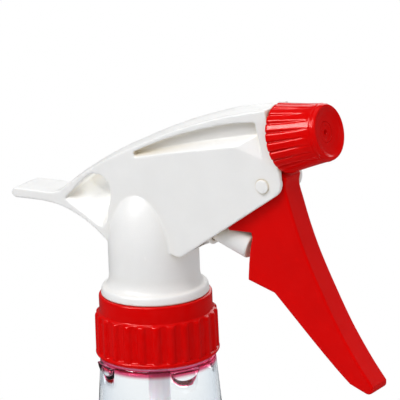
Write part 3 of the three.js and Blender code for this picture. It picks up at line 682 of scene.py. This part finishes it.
# ---------------------------------------------------------------- screw collar
def collar():
    top = HEAD_Z - 0.05
    foot = HEAD_Z - COLLAR_HEIGHT
    rib_top, rib_foot = HEAD_Z - 5.2, HEAD_Z - 15.7
    end = 0.9   # length of a rib's rounded upper end

    def ribs(radius, z, angle):
        if radius < COLLAR_BAND_R + 0.3 or not rib_foot <= z <= rib_top:
            return 0
        crest = clamp((math.cos(COLLAR_RIBS * angle) + 0.25) / 1.25) ** 0.55
        fade = math.sqrt(1 - clamp((z - rib_top + end) / end) ** 2)
        return 0.72 * crest * fade

    valley = []   # between two ribs, with points closer together near their rounded upper ends
    for k in range(21):
        down = (k / 20) ** 1.6
        valley.append((16.05 + 0.15 * k / 20, rib_top - 0.02 - (rib_top - rib_foot - 0.1) * down))
    profile = rounded([
        (COLLAR_BORE_R, foot),
        (16.4, foot, 0.3),
        (COLLAR_BEAD_R, foot + 0.6, 0.5),
        (COLLAR_BEAD_R, rib_foot - 0.3, 0.3),
        *reversed(valley),
        (COLLAR_BAND_R, rib_top + 0.35, 0.3),
        (COLLAR_BAND_R, top, 0.6),
        (COLLAR_LIP_BORE_R, top, 0.2),
        (COLLAR_LIP_BORE_R, top - 1.6, 0.2),
        (COLLAR_BORE_R, top - 1.6, 0.2),
    ])
    shell = lathe("collar_shell", profile, COLLAR_RIBS * 16, ribs)
    thread_foot = THREAD_FOOT - THREAD_PITCH / 2
    thread = ridge("collar_thread", COLLAR_BORE_R + 0.3, 12.85, 1.9, THREAD_PITCH, 1.3, thread_foot)
    combine(shell, thread, "UNION")
    finish_piece(shell, RED_GLOSS, "screw_collar", "collar")


# ---------------------------------------------------------------- bottle
def bezier(a, b, c, d, steps):
    a, b, c, d = (Vector(p) for p in (a, b, c, d))
    curve = []
    for k in range(steps + 1):
        t = k / steps
        u = 1 - t
        curve.append(tuple(u ** 3 * a + 3 * u * u * t * b + 3 * u * t * t * c + t ** 3 * d))
    return curve


def bottle():
    shoulder = HEAD_Z - COLLAR_HEIGHT - 0.7
    body_top, heel = 118, 6

    throat = shoulder - 15

    def flare(inner):
        """Profile from the straight body up to the shoulder, at this distance inside the outer surface."""
        r = BOTTLE_BODY_R - inner
        throat_r = BOTTLE_SHOULDER_R + 1.1 - inner
        above_body, below_throat = (r, body_top + 25), (throat_r + 1.5, throat - 20)
        curve = bezier((r, body_top), above_body, below_throat, (throat_r, throat), 40)
        return [*curve, (throat_r - 0.55, throat + 7)]

    def base(lift):
        return rounded([
            (0, lift), (13, lift, 1.5), (15.5, 1.5 + lift, 1.5), (21.5, 1.5 + lift, 1.5), (24, lift, 1.5),
            (25, lift),
        ], closed=False)

    def heel_arc(inner):
        radius = heel - inner
        return arc(BOTTLE_BODY_R - heel, heel + 0.4 * inner, radius, -90, 0, 10)

    outside = [
        *base(0), *heel_arc(0), *flare(0),
        *rounded([
            (BOTTLE_SHOULDER_R, shoulder - 0.9),
            (BOTTLE_SHOULDER_R - 0.35, shoulder - 0.05, 0.5),
            (BOTTLE_FINISH_R, shoulder + 0.15, 0.4),
            (BOTTLE_FINISH_R, MOUTH_Z, 0.4),
            (BOTTLE_MOUTH_R, MOUTH_Z, 0.3),
            (BOTTLE_MOUTH_R, shoulder - 0.2),
        ], closed=False),
    ]
    inside = [
        *base(1.4), *heel_arc(BOTTLE_WALL), *flare(BOTTLE_WALL),
        (BOTTLE_SHOULDER_R - 0.95, shoulder - 1.6),
        (BOTTLE_SHOULDER_R - 1.5, shoulder - 0.95),
        (BOTTLE_MOUTH_R + 0.6, shoulder - 0.8),
    ]
    shell = lathe("bottle_shell", [*outside, *reversed(inside)], 192)
    thread = ridge("bottle_thread", BOTTLE_FINISH_R - 0.3, 13.5, 1.9, THREAD_PITCH, 1.5, THREAD_FOOT)
    combine(shell, thread, "UNION")
    for angle in BOTTLE_LUGS:
        half_round = [(4.2 * x, 2.9 * z) for x, z in arc(0, 0, 1, 180, 360, 24)]
        lug = plate("lug", half_round, -0.6, 0.6, edge=0.3)
        turn = Matrix.Rotation(math.radians(angle + 90), 4, "Z")
        place = turn @ Matrix.Translation((0, -(BOTTLE_SHOULDER_R - 0.05) * MM, (shoulder - 0.55) * MM))
        combine(shell, placed_on(lug, place), "UNION")
    finish_piece(shell, CLEAR, "bottle", "bottle")


def dip_tube():
    low, high = (corner.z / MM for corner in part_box("dip_tube"))
    profile = rounded([(2.1, low, 0.15), (2.95, low, 0.15), (2.95, high, 0.15), (2.1, high, 0.15)], 2)
    tube = lathe("dip_tube_wall", profile, 64)
    slant = plate("slant", [(-8, -7), (8, -7), (8, 0), (-8, 0)], -8, 8)
    cut_end = Matrix.Translation((0, 0, (low + 1.8) * MM)) @ Matrix.Rotation(0.61, 4, "Y")
    combine(tube, placed_on(slant, cut_end), "DIFFERENCE")
    finish_piece(tube, MILKY, "dip_tube", "head")


# ---------------------------------------------------------------- trigger, pin and piston
def trigger_outline():
    front = spline([
        (44.9, 37.6), (44.5, 34.9), (45.7, 30.6), (47.6, 24.4), (50.4, 17),
        (54.4, 8.4), (59.6, -1.7), (65.1, -10.4), (69.3, -16.1),
    ], 5)
    tip = rounded([(69.3, -16.1), (69.3, -17.7, 0.7), (67.8, -18.5, 0.7), (62.4, -16.3)], closed=False)
    rear = bezier((62.4, -16.3), (56, -10.8), (48.7, -2.9), (40.2, 5.8), 14)
    button = bezier((32.2, 8.4), (32.4, 13.2), (33.0, 17.2), (33.8, 20.2), 6)
    return [
        *arc(PIVOT.x, PIVOT.z, 4.2, 150, 62, 10),
        (43.5, 38.9),
        *front,
        *tip[1:-1],
        *rear,
        *button,
        (33.6, 21.6), (26.7, 21.4), (25.6, 23.2), (34.6, 36.2),
    ]


def trigger():
    lever = plate("trigger_lever", trigger_outline(), -TRIGGER_HALF, TRIGGER_HALF, edge=0.45)
    arm, wall = 0.6, 1.5
    gap = TRIGGER_HALF - arm
    combine(lever, plate("fork", [(20, 11.5), (33.7, 11.5), (33.7, 37), (20, 37)], -gap, gap), "DIFFERENCE")
    channel = [
        (40, 0), (41.2, 3.6), (47, 9.5), (50.8, 10.5), (57.6, -3.2),
        (63.2, -12.2), (65.2, -15.2), (60, -22), (40, -8),
    ]
    combine(lever, plate("channel", channel, wall - TRIGGER_HALF, TRIGGER_HALF - wall), "DIFFERENCE")
    bore = lathe("bore", [(0, -10), (PIN_R + 0.2, -10), (PIN_R + 0.2, 10), (0, 10)])
    combine(lever, placed_on(bore, IN_HEAD.inverted() @ ON_PIVOT), "DIFFERENCE")
    soften(lever, 0.2, 3)
    thin_out(lever, 0.5)
    placed_on(lever, IN_HEAD)
    finish_piece(lever, RED_SATIN, "trigger", "trigger")


def trigger_pin():
    half = 6.75
    profile = rounded([(0, -half), (PIN_R, -half, 0.35), (PIN_R, half, 0.35), (0, half)], closed=False)
    pin = placed_on(lathe("pivot_pin", profile, 96), ON_PIVOT)
    finish_piece(pin, WHITE, "trigger_pin", "head")


def piston():
    end, tail, nose = 8.5, -9, 9.6
    grooves = []
    for low in (-8.1, -5.5):
        grooves += [
            (PISTON_R, low - 0.1, 0.1), (PISTON_R - 0.5, low - 0.1), (PISTON_R - 0.5, low + 1.3),
            (PISTON_R, low + 1.3, 0.1),
        ]
    profile = rounded([
        (0, -0.6), (2.9, -0.6, 0.4), (2.9, tail, 0.1), (PISTON_R, tail, 0.15), *grooves,
        (PISTON_R, end, 0.5), (1.5, end, 0.3), (1.3, nose, 0.4), (0, nose),
    ], closed=False)
    rod = placed_on(lathe("piston_rod", profile, 96), ON_PISTON)
    finish_piece(rod, WHITE, "piston", "piston")


# ---------------------------------------------------------------- nozzle
def nozzle_cap():
    bore, face = 6.6, 12.95

    def flutes(radius, z, angle):
        """Flat facets round the cone with a groove between each two, deepest at the back."""
        if radius < bore + 0.5 or z > 12.4:
            return 0
        across = abs(math.cos(NOZZLE_FLUTES * angle / 2 + CAP_TURN))
        from_middle = math.acos(min(1, across)) / (NOZZLE_FLUTES / 2)
        facet = radius * (1 - math.cos(math.pi / NOZZLE_FLUTES) / math.cos(from_middle))
        fade = clamp((12.5 - z) / 9) * clamp(0.7 + z / 0.6)
        return -0.8 * facet - 0.8 * fade * (1 - across) ** 3

    cone = [(NOZZLE_BACK_R - 0.17 * z + 0.002 * z * z, z) for z in [0.35 + 0.55 * k for k in range(22)]]
    profile = rounded([
        (bore, 0, 0.3), (NOZZLE_BACK_R - 0.25, 0, 0.2), *cone,
        (NOZZLE_FRONT_R + 0.22, 12.45), (NOZZLE_FRONT_R + 0.02, 12.65, 0.1),
        (NOZZLE_FRONT_R + 0.02, 13.3, 0.1), (NOZZLE_FRONT_R - 0.35, NOZZLE_LENGTH, 0.45),
        (6.65, NOZZLE_LENGTH, 0.3), (5.8, face + 0.45, 0.6), (4.3, face + 0.08, 0.4), (2.8, face, 0.12),
        (2.8, 11.2, 0.1), (3.6, 11.2), (3.6, 9.7, 0.1), (bore, 9.7, 0.2),
    ])
    cap = lathe("nozzle_cap_shell", profile, NOZZLE_FLUTES * 16, flutes)
    thread = ridge("cap_thread", bore + 0.2, 5.65, 0.7, 2, 2, 3.4)
    combine(cap, thread, "UNION")
    finish_piece(placed_on(cap, ON_NOZZLE), RED_GLOSS, "nozzle_cap", "nozzle")

    insert = lathe("orifice_disc", rounded([
        (0.45, 9.9), (3.3, 9.9, 0.1), (3.3, 10.9, 0.1), (2.55, 10.9),
        (2.74, face - 0.06, 0.08), (2.1, face - 0.1, 0.1),
        (1.8, face - 0.28, 0.15), (1.3, face - 0.28, 0.15),
        (1.05, face - 0.12, 0.1), (0.75, face - 0.15, 0.1), (0.45, face - 0.8, 0.1),
    ]), 96)
    finish_piece(placed_on(insert, ON_NOZZLE), RED_GLOSS, "orifice_insert", "nozzle")


# ---------------------------------------------------------------- springs
def spring(name, place, radius, wire, low, high, turns, node):
    """Coil from its fixed end at low to its other end at high, which the moving body pushes."""
    piece = placed_on(coil(name, radius, wire, low, high, turns), place)
    finish_piece(piece, STEEL, node, None)
    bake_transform(piece)


def springs():
    spring("piston_coil", ON_PISTON, 2.2, 0.4, -16.7, -1.2, 7, "return_spring")
    seat = -16.9
    spring("valve_coil", ON_NOZZLE, 1.2, 0.25, -8.7, seat + 1.5, 6, "outlet_spring")


# ---------------------------------------------------------------- nodes that keep their CAD shape
def refine_cad_nodes():
    """Rounds the edges of the pieces that keep their CAD mesh, and gives each its material."""
    finishes = {
        "pump_body": WHITE, "dip_tube_holder": WHITE, "nozzle_base": WHITE, "swirl_core": WHITE,
        "outlet_valve": MILKY, "inlet_ball": STEEL, "mouth_gasket": SEAL,
        "piston_seal": RUBBER, "vent_seal": RUBBER, "nozzle_seal": RUBBER,
    }
    for name, material in finishes.items():
        node = frame["nodes"][name]
        node.data.materials.clear()
        node.data.materials.append(material)
        weld = node.modifiers.new("weld", "WELD")
        weld.merge_threshold = 1e-5
        bevel = node.modifiers.new("bevel", "BEVEL")
        bevel.width = 0.12 * MM
        bevel.segments = 2
        bevel.limit_method = "ANGLE"
        bevel.angle_limit = math.radians(35)
        node.data.polygons.foreach_set("use_smooth", [True] * len(node.data.polygons))


# ---------------------------------------------------------------- stage, light and camera
WORLD_FILL = 0.55            # strength of the white surroundings on diffuse surfaces
WORLD_IN_REFLECTIONS = 0.08  # kept low, so that dark red stays deep and only the softboxes give highlights
LIGHT_AIM = Vector((0.01, 0, 0.22))
CAMERA_ANGLES = (32.7, 15.8, -2.24)    # azimuth, elevation and roll in degrees
CAMERA_TARGET = Vector((15.59, 0, HEAD_Z + 27.5)) * MM
CAMERA_DISTANCE = 0.802                # metres
CAMERA_LENS = 270                      # millimetres


def floor():
    """Pale floor that clears to white away from the object, as a lit sweep does."""
    shader = Shader("pale_floor")
    cloud = shader.spread(shader.noise(60, detail=4), 0, 1)
    tone = shader.mix(cloud, (0.72, 0.72, 0.72, 1), (0.69, 0.69, 0.695, 1))
    shader.set(Base_Color=tone, Roughness=0.8, Normal=shader.bump(shader.noise(1.5), 0.05, 0.3))
    away = shader.add("ShaderNodeVectorMath", {0: shader.place}, operation="LENGTH").outputs["Value"]
    share = shader.add("ShaderNodeMapRange", {
        "Value": away, "From Min": 0.12, "From Max": 0.42, "To Min": 0.0, "To Max": 1.0,
    }, interpolation_type="SMOOTHSTEP").outputs["Result"]
    path = shader.add("ShaderNodeLightPath").outputs
    straight = {0: path["Is Camera Ray"], 1: path["Is Transmission Ray"]}
    seen = shader.add("ShaderNodeMath", straight, operation="MAXIMUM").outputs[0]
    white = shader.add("ShaderNodeMath", {0: share, 1: seen}, operation="MULTIPLY").outputs[0]
    glow = shader.add("ShaderNodeEmission", {"Color": (1, 1, 1, 1), "Strength": 1.0}).outputs[0]
    blend = shader.add("ShaderNodeMixShader", {0: white, 1: shader.surface.outputs[0], 2: glow}).outputs[0]
    shader.put(shader.output.inputs["Surface"], blend)
    half = 4000
    corners = [(-half, -half, 0), (half, -half, 0), (half, half, 0), (-half, half, 0)]
    ground = build("floor", corners, [(0, 1, 2, 3)])
    ground.data.materials.append(shader.material)
    ground.visible_glossy = False   # keeps the reds deep


def softbox(name, position, width, height, power):
    """Rectangular area light aimed at the neck of the head."""
    light = bpy.data.lights.new(name, "AREA")
    light.shape = "RECTANGLE"
    light.size, light.size_y = width, height
    light.energy = power
    lamp = bpy.data.objects.new(name, light)
    bpy.context.scene.collection.objects.link(lamp)
    lamp.location = position
    lamp.rotation_euler = (Vector(position) - LIGHT_AIM).to_track_quat("Z", "Y").to_euler()
    return lamp


def lights():
    softbox("key", (-0.1, -0.6, 1.05), 0.6, 0.5, 6.7)
    softbox("top", (0.1, 0.15, 1.1), 0.7, 0.7, 0.8)
    softbox("back", (-0.2, 0.9, 0.6), 0.8, 0.6, 2.4)
    side = softbox("side", (0.95, 0.12, 0.5), 0.5, 0.5, 1.2)
    side.visible_glossy = False
    window = softbox("window", (-0.44, -0.69, 0.87), 0.3, 0.34, 7.5)
    window.visible_diffuse = False


def surroundings():
    """White world: full strength where it is seen, weaker on diffuse surfaces, weakest in reflections."""
    world = bpy.data.worlds.new("studio")
    bpy.context.scene.world = world
    world.use_nodes = True
    tree = world.node_tree
    path = tree.nodes.new("ShaderNodeLightPath").outputs
    straight = tree.nodes.new("ShaderNodeMath")
    straight.operation = "MAXIMUM"
    tree.links.new(path["Is Camera Ray"], straight.inputs[0])
    tree.links.new(path["Is Transmission Ray"], straight.inputs[1])
    glossy = tree.nodes.new("ShaderNodeMix")
    glossy.inputs["A"].default_value = WORLD_FILL
    glossy.inputs["B"].default_value = WORLD_IN_REFLECTIONS
    tree.links.new(path["Is Glossy Ray"], glossy.inputs["Factor"])
    strength = tree.nodes.new("ShaderNodeMix")
    strength.inputs["B"].default_value = 1.0
    tree.links.new(straight.outputs[0], strength.inputs["Factor"])
    tree.links.new(glossy.outputs["Result"], strength.inputs["A"])
    background = tree.nodes["Background"]
    background.inputs["Color"].default_value = (1, 1, 1, 1)
    tree.links.new(strength.outputs["Result"], background.inputs["Strength"])


def camera():
    azimuth, elevation, roll = (math.radians(angle) for angle in CAMERA_ANGLES)
    back = Vector((
        math.sin(azimuth) * math.cos(elevation),
        -math.cos(azimuth) * math.cos(elevation),
        math.sin(elevation),
    ))
    right = Vector((0, 0, 1)).cross(back).normalized()
    up = back.cross(right)
    rolled_right = math.cos(roll) * right + math.sin(roll) * up
    rolled_up = math.cos(roll) * up - math.sin(roll) * right
    data = bpy.data.cameras.new("camera")
    data.lens = CAMERA_LENS
    data.sensor_width = 36
    data.clip_start = 0.01
    view = bpy.data.objects.new("camera", data)
    bpy.context.scene.collection.objects.link(view)
    axes = Matrix((rolled_right, rolled_up, back)).transposed().to_4x4()
    view.matrix_world = Matrix.Translation(CAMERA_TARGET + back * CAMERA_DISTANCE) @ axes
    bpy.context.scene.camera = view


bottle()
dip_tube()
collar()
shroud()
trigger()
trigger_pin()
piston()
nozzle_cap()
springs()
refine_cad_nodes()
floor()
lights()
surroundings()
camera()
bpy.context.scene.view_settings.view_transform = "Standard"
